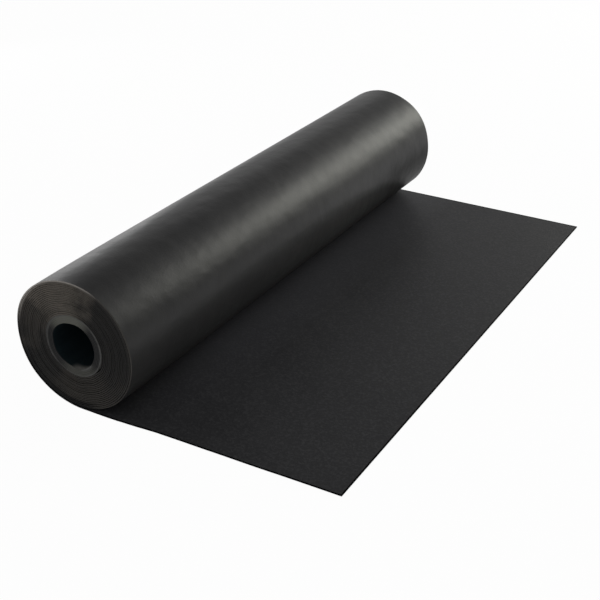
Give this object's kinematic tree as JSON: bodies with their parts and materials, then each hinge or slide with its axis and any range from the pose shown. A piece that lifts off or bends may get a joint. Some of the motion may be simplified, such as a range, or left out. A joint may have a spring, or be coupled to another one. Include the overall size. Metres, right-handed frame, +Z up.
{
  "type": "roll of roofing felt",
  "caption": "Roll of black roofing felt lying on its side, wound on a board core, with its outer end run out flat.",
  "frame": {"origin": "on the floor, under the middle of the part's box: midway along the roll, and midway from the roll's back to the free end of the sheet", "axes": "+X from the roll towards the free end of the sheet, +Y along the roll, +Z up"},
  "size_m": [0.5434, 1, 0.2113],
  "materials": {
    "felt": "matt bitumen felt, with a satin outer turn",
    "core": "dark grey wound board"
  },
  "bodies": {
    "root": {"felt_roll": "felt", "core_tube": "core"}
  },
  "joints": []
}
